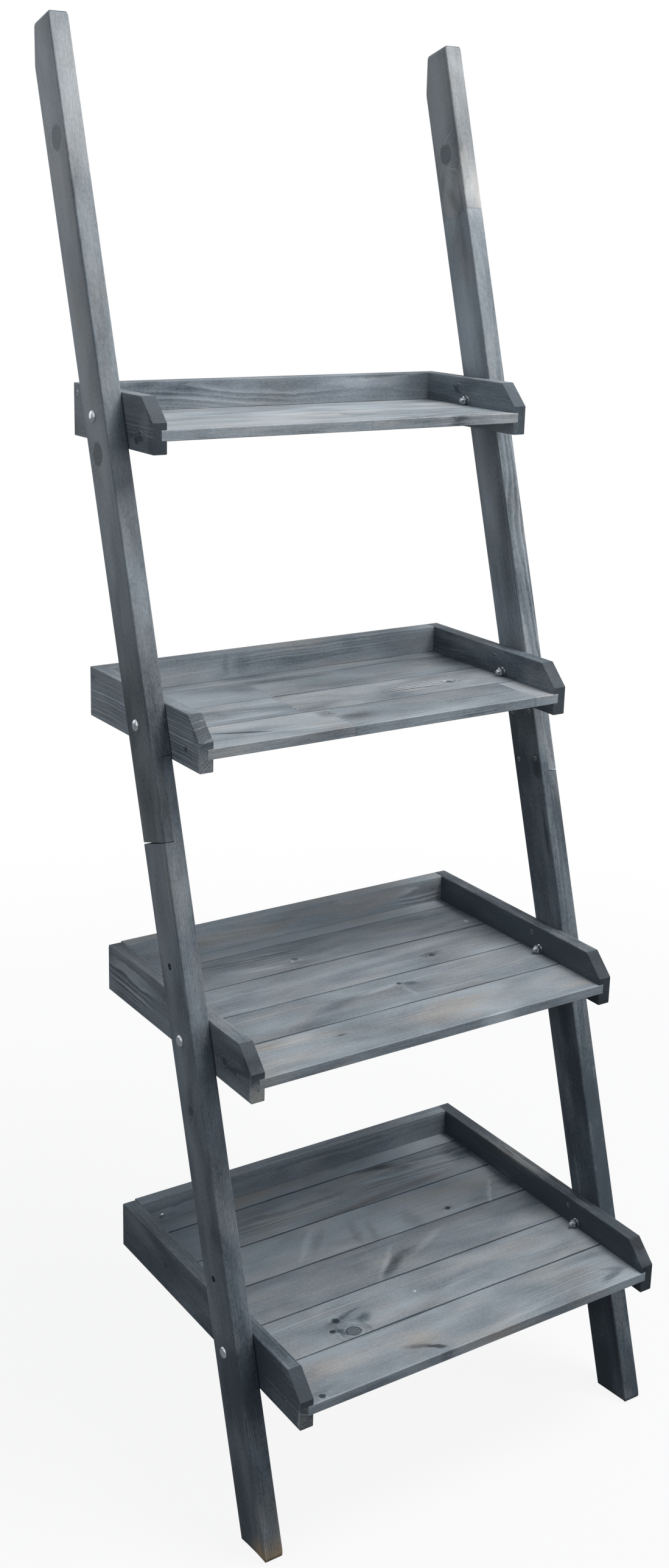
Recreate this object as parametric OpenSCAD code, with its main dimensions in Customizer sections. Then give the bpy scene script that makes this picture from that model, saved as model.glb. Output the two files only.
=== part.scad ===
// Plant ladder stand: two leaning rails with four stepped trays between them.
// The stand rests on its feet and leans on a wall behind it.
// X runs across the stand, +Y goes back to the wall, +Z is up.
// The origin is at the floor, midway across and midway from front to back.

/* [Rails] */
// Thickness of a rail, across the stand
rail_t = 26; // [22:0.5:32]
// Width of a rail, square to its length
rail_w = 55.5; // [48:0.5:64]
// Height of a rail's top front corner above the floor
rail_height = 1750; // [1650:5:1900]
// Lean of the rails from plumb, in degrees
lean = 16.8; // [14:0.1:19]
// Depth of the plumb cut that lets a rail's top lie flat on the wall
wall_cut = 15.5; // [8:0.5:20]
// Radius of a rail's long arrises
rail_ease = 2.5; // [1:0.5:4]
// Radius of the top end's front corner
top_corner_r = 4; // [1:0.5:8]
// Radius of the foot's front corner
foot_corner_r = 7; // [1:0.5:10]

/* [Splice] */
// Distance along a rail from the second tray's bolt down to the half-lap
splice_drop = 39; // [30:0.5:60]
// Length of the half-lap in which the two halves of a rail join
lap_len = 100; // [80:1:110]
// Thickness of the upper half's tongue, which lies on the outside
tongue_t = 13; // [10:0.5:16]
// Gap left at the outer tongue's end, at the rail's front edge
lap_gap_front = 0.8; // [0.2:0.1:2]
// Gap left at the outer tongue's end, at the rail's rear edge
lap_gap_rear = 2.2; // [0.2:0.1:3]
// Gap left at the inner tongue's end
lap_gap_inner = 0.8; // [0.2:0.1:2]

/* [Trays] */
// Width of a tray over its side boards, which is the clear width between the rails
tray_w = 540; // [440:5:700]
// Thickness of the side and back boards
board_t = 18; // [15:0.5:22]
// Height of the side boards
side_h = 64; // [58:1:76]
// Drop from the side boards' top edge to the floor's top
floor_drop = 36; // [30:1:42]
// Thickness of the floor boards
floor_t = 13; // [10:0.5:16]
// Width of a full floor board
plank_w = 80; // [70:1:90]
// Depth of the housing that the floor boards' ends lie in
housing = 7; // [5:0.5:9]
// Length of the side boards' front chamfer, along the board
chamfer_y = 28; // [20:1:34]
// Height of the side boards' front chamfer
chamfer_z = 28; // [20:1:34]
// Radius of the boards' arrises
board_ease = 1; // [0.5:0.25:2]
// Radius of the worn rear corner on the lower trays' left boards
worn_r = 5.5; // [2:0.5:9]
// Clearance round a floor board's end in its housing
housing_clear = 0.2; // [0.1:0.05:0.4]

/* [Tray places] */
// Height of the top tray's rim above the floor
tray1_top = 1328; // [1300:1:1360]
// Height of the second tray's rim above the floor
tray2_top = 979.5; // [975:0.5:1000]
// Height of the third tray's rim above the floor
tray3_top = 619.5; // [590:0.5:650]
// Height of the bottom tray's rim above the floor
tray4_top = 260; // [240:1:280]
// Distance from the bolts to the top tray's front end
tray1_ahead = 101.5; // [95:0.5:110]
// Distance from the bolts to the second tray's front end
tray2_ahead = 107; // [95:0.5:120]
// Distance from the bolts to the third tray's front end
tray3_ahead = 121; // [105:0.5:135]
// Distance from the bolts to the bottom tray's front end
tray4_ahead = 129.5; // [110:0.5:150]
// Width of the narrow rear floor board of the top tray
tray1_strip = 46; // [36:1:60]
// Width of the narrow rear floor board of the second tray
tray2_strip = 42; // [36:1:60]
// Width of the narrow rear floor board of the third tray
tray3_strip = 42; // [36:1:60]
// Width of the narrow rear floor board of the bottom tray
tray4_strip = 45; // [36:1:60]

/* [Bolts] */
// Diameter of the carriage bolts
bolt_d = 6; // [5:0.5:8]
// Length of a carriage bolt under its head
bolt_len = 55; // [53:1:70]
// Diameter of the bolt's domed head
bolt_head_d = 14.5; // [12:0.5:18]
// Height of the bolt's domed head
bolt_head_h = 3.3; // [2.5:0.1:4.5]
// Length of the square neck under the head
neck_len = 4; // [3:0.5:6]
// Clearance round a bolt in its hole
bolt_clear = 0.25; // [0.1:0.05:0.5]
// Outside diameter of the washers
washer_d = 12; // [11:0.5:14]
// Thickness of the washers
washer_t = 1.4; // [1:0.1:2]
// Width across the flats of the nuts
nut_w = 10; // [9:0.5:11]
// Height of the nuts
nut_h = 5; // [4:0.5:6.5]
// Distance from a rail's rear edge to its bolts
bolt_in = 24; // [18:0.5:30]
// Gap between a washer and the floor board under it
washer_gap = 0.5; // [0.2:0.1:1.5]
// Diameter of the two spare bolt holes in the left rail
spare_hole_d = 8; // [6:0.5:9]
// Height of a spare bolt hole above the bolt below it
spare_rise = 85; // [70:1:100]

/* [Screws] */
// Diameter of the screws that hold the trays
screw_d = 4; // [3:0.25:5]
// Diameter of those screws' countersunk heads
screw_head_d = 8; // [7:0.25:9]
// Length of the screws from the trays into the rails
rail_screw_len = 40; // [30:1:41]
// Length of the screws through the side boards into floor and back boards
board_screw_len = 45; // [35:1:60]
// Diameter of the screws that hold the half-laps
lap_screw_d = 3.5; // [3:0.25:4]
// Diameter of the lap screws' heads
lap_head_d = 7; // [6:0.25:8]
// Length of the lap screws
lap_screw_len = 23; // [18:0.5:24]
// Clearance round a screw in the wood
screw_clear = 0.05; // [0.02:0.01:0.1]
// Diameter of a screw's tip
screw_tip_d = 1; // [0.5:0.25:1.5]
// Distance from a rail's rear edge to the tray screws
rail_screw_in = 11; // [7:0.5:14]
// Drop from a tray's rim to the screws into the rails
rail_screw_drop = 12.5; // [11:0.5:16]
// Drop from a tray's rim to the screws into the back board
back_screw_drop = 11.5; // [9:0.5:18]
// Distance from a tray's front end to the floor screws
floor_screw_in = 32; // [28:1:38]
// Distance from a rail's edges to the lap screws
lap_screw_edge = 10; // [8:0.5:14]
// Distance from the lap's ends to the lap screws
lap_screw_end = 18; // [14:0.5:24]
// Distance from the bottom tray's left board to the screw in its back board
face_screw_in = 31; // [20:1:45]
// Height of that screw above the floor board
face_screw_up = 9; // [7:0.5:14]
// Length of that screw
face_screw_len = 14; // [10:0.5:14.5]

/* [Hidden] */

// Facets of small and large round faces
fine = 24;
coarse = 40;
// A cutter reaches this far past the face that it opens
past = 1;

// Stained pine, the lighter floor boards and zinc
wood = "#6f7880";
wood_floor = "#8b939b";
zinc = "#a8adb2";

// The trays from top to bottom, counted from 0
tops = [tray1_top, tray2_top, tray3_top, tray4_top];
aheads = [tray1_ahead, tray2_ahead, tray3_ahead, tray4_ahead];
strips = [tray1_strip, tray2_strip, tray3_strip, tray4_strip];
planks = [2, 3, 4, 5];
worn = [false, false, true, true];
trays = [0 : 3];
sides = [-1, 1];

// A rail is measured along its rear edge, from the floor, and forwards from that edge
rail_len = (rail_height - rail_w * sin(lean)) / cos(lean);
function rail_y(along, in) = along * sin(lean) - in * cos(lean);
function along_at(z, in) = (z - in * sin(lean)) / cos(lean);

// Heights on a tray
function floor_top(t) = tops[t] - floor_drop;
function floor_mid(t) = floor_top(t) - floor_t / 2;

// Where each tray's bolts cross the rails, behind the rear edge of the feet
function bolt_z(t) = floor_top(t) + washer_gap + washer_d / 2;
function bolt_y(t) = rail_y(along_at(bolt_z(t), bolt_in), bolt_in);
function front_y(t) = bolt_y(t) - aheads[t];
function depth(t) = planks[t] * plank_w + strips[t];
function rear_y(t) = front_y(t) + depth(t);

// The wall plane and the foremost tray set the middle from front to back
wall_y = rail_y(rail_len, 0) - wall_cut;
front = min([for (t = trays) front_y(t)]);
middle = (wall_y + front) / 2;

// Length of the lower rail half below its tongue, along the rear edge
lower_len = along_at(bolt_z(1), bolt_in) - splice_drop - lap_len;

// Clear width inside a tray, and the length of its floor boards
inside_w = tray_w - 2 * board_t;
plank_len = inside_w + 2 * (housing - housing_clear);

// The outer side of a rail, the joint between rail and tray, and the inside of a tray
outer_x = tray_w / 2 + rail_t;
joint_x = tray_w / 2;
inner_x = inside_w / 2;
lap_x = outer_x - tongue_t;

// ---- Placing ----

// Moves a piece from behind the feet's rear edge to the stand's own origin
module centred() translate([0, -middle, 0]) children();

// Draws a piece of the right side, or its mirror image on the left
module on_side(side) mirror([side < 0 ? 1 : 0, 0, 0]) children();

// Stands upright in a rail: +Z goes up along it and -Y forwards, square to it
module in_rail() rotate([-lean, 0, 0]) children();

// Lies across the stand at height z, with its start at x and +Z pointing inwards or outwards
module across(x, y, z, inwards) {
    translate([x, y, z]) rotate([0, inwards ? -90 : 90, 0]) children();
}

// ---- Shapes ----

// A rectangle with true round corners, from its lower left corner
module eased_rect(w, h, r) {
    translate([r, 0]) square([w - 2 * r, h]);
    translate([0, r]) square([w, h - 2 * r]);
    for (x = [r, w - r], y = [r, h - r])
        translate([x, y]) circle(r, $fn = fine);
}

// What a round corner of radius r takes off, at the lower left corner of a plate
module corner_waste(r) {
    difference() {
        translate([-past, -past]) square(r + past);
        translate([r, r]) circle(r, $fn = coarse);
    }
}

// A board with eased long arrises, lying along X, from its lower front left corner
module board(len, w, h, r) {
    rotate([90, 0, 90]) linear_extrude(len) eased_rect(w, h, r);
}

// A countersunk screw with its head's face at the origin, pointing to +Z
module screw(d, head_d, len, clear) {
    head_h = (head_d - d) / 2;
    tip_h = d;
    cylinder(h = head_h, d1 = head_d + 2 * clear, d2 = d + 2 * clear, $fn = fine);
    cylinder(h = len - tip_h, d = d + 2 * clear, $fn = fine);
    translate([0, 0, len - tip_h])
        cylinder(h = tip_h + clear, d1 = d + 2 * clear, d2 = screw_tip_d + 2 * clear, $fn = fine);
}

module tray_screw(len, clear) screw(screw_d, screw_head_d, len, clear);

// ---- Fastener places, on the right side ----

module rail_screw_place(t) {
    z = tops[t] - rail_screw_drop;
    across(inner_x, rail_y(along_at(z, rail_screw_in), rail_screw_in), z, false) children();
}

module back_screw_place(t) {
    across(joint_x, rear_y(t) - board_t / 2, tops[t] - back_screw_drop, true) children();
}

module floor_screw_place(t) {
    across(joint_x, front_y(t) + floor_screw_in, floor_mid(t), true) children();
}

module lap_screw_places() {
    for (in = [lap_screw_edge, rail_w - lap_screw_edge],
         along = [lower_len + lap_screw_end, lower_len + lap_len - lap_screw_end])
        across(joint_x, rail_y(along, in), along * cos(lean) + in * sin(lean), false) children();
}

module face_screw_place() {
    x = face_screw_in - inner_x;
    translate([x, rear_y(3) - board_t, floor_top(3) + face_screw_up]) rotate([-90, 0, 0]) children();
}

// A bolt's axis, from its head's seat on the rail's outer side
module bolt_place(t) across(outer_x, bolt_y(t), bolt_z(t), true) children();

// ---- Rails ----

// The rail's side view: floor cut, square top end and plumb cut at the wall
module rail_outline() {
    intersection() {
        translate([rail_y(0, rail_w) - rail_w, 0])
            square([wall_y - rail_y(0, rail_w) + rail_w, rail_height]);
        rotate(-lean) difference() {
            translate([-rail_w, -rail_w]) square([rail_w, rail_len + rail_w]);
            translate([-rail_w, rail_len]) mirror([0, 1]) corner_waste(top_corner_r);
        }
    }
}

// A whole right rail with eased long arrises
module whole_rail() {
    foot_front = rail_y(-rail_w * tan(lean), rail_w);
    difference() {
        intersection() {
            translate([joint_x, 0, 0]) rotate([90, 0, 90]) linear_extrude(rail_t) rail_outline();
            in_rail() translate([joint_x, -rail_w, -rail_w])
                linear_extrude(rail_len + 2 * rail_w) eased_rect(rail_t, rail_w, rail_ease);
        }
        translate([joint_x - past, foot_front, 0])
            rotate([90, 0, 90]) linear_extrude(rail_t + 2 * past) foot_waste();
    }
}

// The round front corner of a foot, between the floor and the leaning front face
module foot_waste() {
    reach = foot_corner_r / tan((90 - lean) / 2);
    polygon([[-past, -past], [reach, -past], [reach, 0], [0, 0]]);
    difference() {
        polygon([[0, 0], [reach, 0], [reach * sin(lean), reach * cos(lean)], [-past, reach * cos(lean)],
                 [-past, 0]]);
        translate([reach, foot_corner_r]) circle(foot_corner_r, $fn = coarse);
    }
}

// The holes that a right rail takes for its trays' bolts and screws
module rail_holes() {
    for (t = trays) {
        bolt_place(t) bolt_bore();
        rail_screw_place(t) tray_screw(rail_screw_len, screw_clear);
    }
    lap_screw_places() screw(lap_screw_d, lap_head_d, lap_screw_len, screw_clear);
}

// A bolt's round hole, with the square seat of its neck at the rail's outer side
module bolt_bore() {
    bore = rail_t + board_t;
    seat = bolt_d + 2 * screw_clear;
    translate([0, 0, -past]) cylinder(h = bore + 2 * past, d = bolt_d + 2 * bolt_clear, $fn = fine);
    translate([-seat / 2, -seat / 2, -past]) cube([seat, seat, neck_len + screw_clear + past]);
}

// The outer half of the rail's thickness, above a square line across the rail
module outer_half(from, slope) {
    in_rail() translate([lap_x, 0, 0]) rotate([90, 0, 90]) linear_extrude(tongue_t + past)
        polygon([[past, from - slope * past / rail_w], [past, rail_len + rail_w],
                 [-rail_w - past, rail_len + rail_w], [-rail_w - past, from + slope * (1 + past / rail_w)]]);
}

module inner_half(from) {
    in_rail() translate([joint_x - past, -rail_w - past, from])
        cube([rail_t - tongue_t + past, rail_w + 2 * past, rail_len + rail_w]);
}

module rail_lower(side) {
    color(wood) centred() on_side(side) difference() {
        whole_rail();
        outer_half(lower_len - lap_gap_rear, lap_gap_rear - lap_gap_front);
        inner_half(lower_len + lap_len - lap_gap_inner);
        rail_holes();
        if (side < 0) spare_holes();
    }
}

module rail_upper(side) {
    color(wood) centred() on_side(side) difference() {
        intersection() {
            whole_rail();
            union() {
                outer_half(lower_len, 0);
                inner_half(lower_len + lap_len);
            }
        }
        rail_holes();
    }
}

// Two bolt holes that no bolt uses, above the bolts of the two lower trays
module spare_holes() {
    for (t = [2, 3]) {
        z = bolt_z(t) + spare_rise;
        across(outer_x + past, rail_y(along_at(z, bolt_in), bolt_in), z, true)
            cylinder(h = rail_t + 2 * past, d = spare_hole_d, $fn = fine);
    }
}

// ---- Trays ----

// A side board's outline, seen from the right, from its lower front corner
module side_outline(t, rear_r) {
    len = depth(t);
    difference() {
        polygon([[0, 0], [len, 0], [len, side_h], [chamfer_y, side_h], [0, side_h - chamfer_z]]);
        translate([len, side_h]) rotate(180) corner_waste(rear_r);
    }
}

module tray_side(t, side) {
    rear_r = side < 0 && worn[t] ? worn_r : board_ease;
    groove_h = floor_t + housing_clear;
    color(wood) centred() on_side(side) difference() {
        translate([inner_x, front_y(t), tops[t] - side_h]) intersection() {
            rotate([90, 0, 90]) linear_extrude(board_t) side_outline(t, rear_r);
            translate([0, depth(t), 0]) rotate([90, 0, 0])
                linear_extrude(depth(t)) eased_rect(board_t, side_h, board_ease);
        }
        translate([inner_x - past, front_y(t) - past, floor_top(t) - floor_t])
            cube([housing + past, depth(t) + 2 * past, groove_h]);
        bolt_place(t) bolt_bore();
        rail_screw_place(t) tray_screw(rail_screw_len, screw_clear);
        back_screw_place(t) tray_screw(board_screw_len, screw_clear);
        floor_screw_place(t) tray_screw(board_screw_len, screw_clear);
    }
}

// The back board stands on the floor between the side boards
module tray_back(t) {
    color(wood) centred() difference() {
        translate([-inner_x, rear_y(t) - board_t, floor_top(t)])
            board(inside_w, board_t, floor_drop, board_ease);
        for (side = sides)
            on_side(side) back_screw_place(t) tray_screw(board_screw_len, screw_clear);
        if (t == 3)
            face_screw_place() tray_screw(face_screw_len, screw_clear);
    }
}

// Floor board number n, counted from the front; the front one takes the floor screws
module tray_floor(t, n) {
    color(wood_floor) centred() difference() {
        translate([-plank_len / 2, front_y(t) + (n - 1) * plank_w, floor_top(t) - floor_t])
            board(plank_len, n > planks[t] ? strips[t] : plank_w, floor_t, board_ease);
        if (n == 1)
            for (side = sides)
                on_side(side) floor_screw_place(t) tray_screw(board_screw_len, screw_clear);
    }
}

// ---- Fasteners ----

// A carriage bolt: domed head, square neck and round shank, pointing to +Z
module carriage_bolt() {
    dome_r = (pow(bolt_head_d / 2, 2) + pow(bolt_head_h, 2)) / (2 * bolt_head_h);
    intersection() {
        translate([0, 0, dome_r - bolt_head_h]) sphere(dome_r, $fn = coarse);
        translate([0, 0, -bolt_head_h]) cylinder(h = bolt_head_h, d = bolt_head_d, $fn = coarse);
    }
    translate([-bolt_d / 2, -bolt_d / 2, 0]) cube([bolt_d, bolt_d, neck_len]);
    cylinder(h = bolt_len, d = bolt_d, $fn = fine);
}

// What comes on the bolts inside the trays starts at this distance under the head
nut_side = rail_t + board_t;

module carriage_bolts() {
    color(zinc) centred() for (side = sides, t = trays)
        on_side(side) bolt_place(t) carriage_bolt();
}

module bolt_washers() {
    color(zinc) centred() for (side = sides, t = trays)
        on_side(side) bolt_place(t) translate([0, 0, nut_side]) difference() {
            cylinder(h = washer_t, d = washer_d, $fn = coarse);
            translate([0, 0, -past])
                cylinder(h = washer_t + 2 * past, d = bolt_d + 2 * bolt_clear, $fn = fine);
        }
}

// Hexagon nuts, threaded close on the bolts
module hex_nuts() {
    color(zinc) centred() for (side = sides, t = trays)
        on_side(side) bolt_place(t) translate([0, 0, nut_side + washer_t]) difference() {
            cylinder(h = nut_h, d = nut_w / cos(30), $fn = 6);
            translate([0, 0, -past])
                cylinder(h = nut_h + 2 * past, d = bolt_d + 2 * screw_clear, $fn = fine);
        }
}

module rail_screws() {
    color(zinc) centred() for (side = sides, t = trays)
        on_side(side) rail_screw_place(t) tray_screw(rail_screw_len, 0);
}

module back_screws() {
    color(zinc) centred() for (side = sides, t = trays)
        on_side(side) back_screw_place(t) tray_screw(board_screw_len, 0);
}

module floor_screws() {
    color(zinc) centred() for (side = sides, t = trays)
        on_side(side) floor_screw_place(t) tray_screw(board_screw_len, 0);
}

module lap_screws() {
    color(zinc) centred() for (side = sides)
        on_side(side) lap_screw_places() screw(lap_screw_d, lap_head_d, lap_screw_len, 0);
}

module back_face_screw() {
    color(zinc) centred() face_screw_place() tray_screw(face_screw_len, 0);
}

rail_lower(-1);  // rail_left_lower
rail_upper(-1);  // rail_left_upper
rail_lower(1);  // rail_right_lower
rail_upper(1);  // rail_right_upper
tray_side(0, -1);  // tray1_side_left
tray_side(0, 1);  // tray1_side_right
tray_back(0);  // tray1_back
tray_floor(0, 1);  // tray1_floor_1
tray_floor(0, 2);  // tray1_floor_2
tray_floor(0, 3);  // tray1_floor_rear
tray_side(1, -1);  // tray2_side_left
tray_side(1, 1);  // tray2_side_right
tray_back(1);  // tray2_back
tray_floor(1, 1);  // tray2_floor_1
tray_floor(1, 2);  // tray2_floor_2
tray_floor(1, 3);  // tray2_floor_3
tray_floor(1, 4);  // tray2_floor_rear
tray_side(2, -1);  // tray3_side_left
tray_side(2, 1);  // tray3_side_right
tray_back(2);  // tray3_back
tray_floor(2, 1);  // tray3_floor_1
tray_floor(2, 2);  // tray3_floor_2
tray_floor(2, 3);  // tray3_floor_3
tray_floor(2, 4);  // tray3_floor_4
tray_floor(2, 5);  // tray3_floor_rear
tray_side(3, -1);  // tray4_side_left
tray_side(3, 1);  // tray4_side_right
tray_back(3);  // tray4_back
tray_floor(3, 1);  // tray4_floor_1
tray_floor(3, 2);  // tray4_floor_2
tray_floor(3, 3);  // tray4_floor_3
tray_floor(3, 4);  // tray4_floor_4
tray_floor(3, 5);  // tray4_floor_5
tray_floor(3, 6);  // tray4_floor_rear
carriage_bolts();
bolt_washers();
hex_nuts();
rail_screws();
back_screws();
floor_screws();
lap_screws();
back_face_screw();
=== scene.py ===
import math
import bpy
from mathutils import Matrix, Vector


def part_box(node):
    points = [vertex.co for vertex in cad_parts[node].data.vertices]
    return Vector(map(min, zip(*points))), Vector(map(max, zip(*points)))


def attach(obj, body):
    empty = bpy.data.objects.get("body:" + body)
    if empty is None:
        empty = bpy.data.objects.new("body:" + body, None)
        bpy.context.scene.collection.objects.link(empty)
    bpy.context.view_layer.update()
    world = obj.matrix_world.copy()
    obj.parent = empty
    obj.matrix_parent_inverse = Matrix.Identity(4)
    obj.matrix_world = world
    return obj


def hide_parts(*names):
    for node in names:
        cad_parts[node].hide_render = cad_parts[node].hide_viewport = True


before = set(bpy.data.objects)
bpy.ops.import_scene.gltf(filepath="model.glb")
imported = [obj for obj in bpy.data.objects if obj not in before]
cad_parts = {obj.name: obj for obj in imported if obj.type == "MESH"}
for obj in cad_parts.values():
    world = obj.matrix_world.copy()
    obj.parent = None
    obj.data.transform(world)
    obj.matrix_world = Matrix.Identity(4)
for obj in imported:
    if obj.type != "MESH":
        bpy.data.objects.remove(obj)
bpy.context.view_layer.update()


# ---- The rails ----
# Two planed pine rails, 26 by 55.5 mm, leaning 16.8 degrees, each of two halves joined by a half-lap under
# tray 2. They were cut and rounded, then dipped in a thin blue-grey stain, so the grain, the knots and
# handling marks show; the lower halves are partly darkened with painted shade, where the trays keep light off.
# The floor has worn the corners of their feet round, and hands those of their tops.

LEAN = math.radians(16.8)
UP_THE_RAIL = Vector((0, math.sin(LEAN), math.cos(LEAN)))
RIGHTWARDS = Vector((1, 0, 0))
DOWNWARDS = Vector((0, 0, -1))
RAIL_MIDDLE_X = 0.283
RAIL_FOOT_Y = -0.2405
RAIL_WIDTH = 55.5
RAIL_THICK = 26.0
MEASURED_FROM = 0.9


def from_hex(code):
    """An sRGB colour, such as 8a949c, as linear light."""
    parts = [int(code[i : i + 2], 16) / 255 for i in (0, 2, 4)]
    return [c / 12.92 if c <= 0.04045 else ((c + 0.055) / 1.055) ** 2.4 for c in parts] + [1]


def add(tree, kind, inputs=None, **settings):
    """Adds a node with its settings, and gives its inputs values or links."""
    node = tree.nodes.new(kind)
    for name, value in settings.items():
        setattr(node, name, value)
    for name, value in (inputs or {}).items():
        if isinstance(value, bpy.types.NodeSocket):
            tree.links.new(value, node.inputs[name])
        else:
            node.inputs[name].default_value = value
    return node


def blank(owner):
    """The node tree of a material or of the world, with nothing in it."""
    owner.use_nodes = True
    owner.node_tree.nodes.clear()
    return owner.node_tree


def grain_noise(tree, spot, long, wide, shift=(0, 0, 0), **settings):
    """Noise whose forms are so many millimetres long along the grain and so many wide across it."""
    stretched = add(tree, "ShaderNodeVectorMath", {0: spot, 1: (1 / long, 1 / wide, 1 / wide), 2: shift},
                    operation="MULTIPLY_ADD").outputs[0]
    return add(tree, "ShaderNodeTexNoise", {"Vector": stretched, "Scale": 1.0, **settings}).outputs


def from_ellipse(tree, spot, x, y, half_long, half_wide, turn=0):
    """How far a spot is from the middle of an ellipse that goes through the whole board: 1 is on its
    outline."""
    endless = 9999
    off = add(tree, "ShaderNodeMapping", {
        "Vector": spot, "Location": (x, y, 0), "Rotation": (0, 0, math.radians(turn)),
        "Scale": (half_long, half_wide, endless)}, vector_type="TEXTURE").outputs[0]
    return add(tree, "ShaderNodeVectorMath", {0: off}, operation="LENGTH").outputs["Value"]


def stained_pine(node, middle, along, face, width, thick, pith, tone, seed, ring=3.4, slope=(0.6, 0.4),
                 figure=0.3, cloud=0.95, thread=0.28, bare=0.25, sawn=0.55, seam=None, dirt=1.0, flames=(),
                 knots=(), marks=(), joints=()):
    """Gives a board of the frame its finish: planed pine under a thin blue-grey stain. Its annual rings are
    shells round a pith line that runs along the board, so that faces show flames, edges lines and ends arcs,
    all from one cut through one log. The soft early wood drinks the stain and goes dark, and the hard late
    wood stays paler. Lengths are millimetres from the board's middle: X along the grain, Y across its width,
    Z through its thickness.
    pith: the Y and Z at which the log's heart passes the middle. slope: degrees between heart and board.
    tone: how pale the board is, 0 to 1. seed: chooses its noise. ring: how wide a year's growth is.
    figure, cloud, thread: how strongly the rings, the uneven stain and the fibres show.
    bare: how far brown wood shows through. sawn: how streaky the narrow edges are.
    dirt: how dark the line along a neighbouring board is.
    seam: BOTH_SIDES or REAR_ONLY, where neighbouring boards lie. None is a board without one.
    flames: (x, y, half length, half width, strength) of places where the figure shows best.
    knots: (x, y, radius, darkness). marks: (x, y, half length, half width, turn, paler, warmer).
    joints: (x, comb length, paler, warmer) where another glued-on length of wood starts."""
    material = bpy.data.materials.new(f"stained_planed_pine_{node}")
    tree = blank(material)
    to_board = Matrix((along, face.cross(along), face))
    place = add(tree, "ShaderNodeTexCoord")
    board = add(tree, "ShaderNodeMapping", {
        "Vector": place.outputs["Object"], "Scale": (1000, 1000, 1000),
        "Rotation": to_board.to_euler(), "Location": -(to_board @ (middle * 1000))}).outputs[0]
    across = add(tree, "ShaderNodeSeparateXYZ", {0: board}).outputs["Y"]
    length = add(tree, "ShaderNodeSeparateXYZ", {0: board}).outputs["X"]

    # Each glued-on length is another piece of wood: past its finger joint the pattern jumps and the stain
    # took anew
    finger_wide = 4.5
    elsewhere = (317, 23, -9)
    wood = board
    glue = None
    lengths = []
    for at, comb, paler, warmer in joints:
        finger = add(tree, "ShaderNodeMath", {0: across, 1: 1 / finger_wide}, operation="MULTIPLY").outputs[0]
        finger = add(tree, "ShaderNodeMath", {0: finger, 1: 1.0}, operation="PINGPONG").outputs[0]
        edge = add(tree, "ShaderNodeMath", {0: finger, 1: comb, 2: length},
                   operation="MULTIPLY_ADD").outputs[0]
        edge = add(tree, "ShaderNodeMath", {0: edge, 1: at + comb / 2}, operation="SUBTRACT").outputs[0]
        past = add(tree, "ShaderNodeMath", {0: edge, 1: 0.0}, operation="GREATER_THAN").outputs[0]
        wood = add(tree, "ShaderNodeVectorMath", {0: past, 1: elsewhere, 2: wood},
                   operation="MULTIPLY_ADD").outputs[0]
        near = add(tree, "ShaderNodeMath", {0: edge}, operation="ABSOLUTE").outputs[0]
        near = add(tree, "ShaderNodeMapRange", {
            "Value": near, "From Min": 0.3, "From Max": 1.1, "To Min": 1, "To Max": 0}).outputs[0]
        if glue is not None:
            near = add(tree, "ShaderNodeMath", {0: glue, 1: near}, operation="MAXIMUM").outputs[0]
        glue = near
        lengths.append((past, paler, warmer))

    # Slow wander of the log's own shape, up to 15 mm in some 200 mm of length
    sway = 15
    wander = grain_noise(tree, wood, 230, 70, (seed, seed * 1.7, -seed), Detail=1.5, Roughness=0.4)["Color"]
    bent = add(tree, "ShaderNodeVectorMath", {0: wander, 1: (0, sway, sway), 2: wood},
               operation="MULTIPLY_ADD").outputs[0]
    log = add(tree, "ShaderNodeMapping", {
        "Vector": bent, "Location": (0, -pith[0] - sway / 2, -pith[1] - sway / 2),
        "Rotation": (0, math.radians(slope[0]), math.radians(slope[1]))}).outputs[0]
    log = add(tree, "ShaderNodeVectorMath", {0: log, 1: (0, 1, 1)}, operation="MULTIPLY").outputs[0]
    radius = add(tree, "ShaderNodeVectorMath", {0: log}, operation="LENGTH").outputs["Value"]

    # Small unevenness, over 34 mm along and 7 mm across, frays the rings and every mark's outline
    fray_long, fray_wide = 6, 3
    uneven = grain_noise(tree, wood, 34, 7, (seed, seed, seed), Detail=2.5, Roughness=0.55)
    small = uneven["Fac"]
    frayed = add(tree, "ShaderNodeVectorMath", {
        0: uneven["Color"], 1: (2 * fray_long, 2 * fray_wide, 0), 2: board}, operation="MULTIPLY_ADD").outputs[0]

    # The sanded face is mottled like felt: specks of some 4 mm by 2 mm, that hold a little more or less stain
    mottle = grain_noise(tree, wood, 4.4, 2.2, Detail=2.0, Roughness=0.65)["Fac"]
    mottle = add(tree, "ShaderNodeMath", {0: mottle, 1: 0.5}, operation="SUBTRACT").outputs[0]

    # The figure shows well only in places, along each flame that is named and round each knot
    spots = grain_noise(tree, wood, 150, 30, (seed, 7, seed * 3), Detail=1.0)["Fac"]
    shown = add(tree, "ShaderNodeMapRange", {
        "Value": spots, "From Min": 0.47, "From Max": 0.68, "To Min": 0.25 * figure, "To Max": figure},
        interpolation_type="SMOOTHSTEP").outputs[0]
    for x, y, half_long, half_wide, strength in flames:
        reach = from_ellipse(tree, frayed, x + fray_long, y + fray_wide, half_long, half_wide)
        here = add(tree, "ShaderNodeMapRange", {
            "Value": reach, "From Min": 1.2, "From Max": 0.5, "To Max": strength},
            interpolation_type="SMOOTHSTEP").outputs[0]
        shown = add(tree, "ShaderNodeMath", {0: shown, 1: here}, operation="MAXIMUM").outputs[0]

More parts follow.
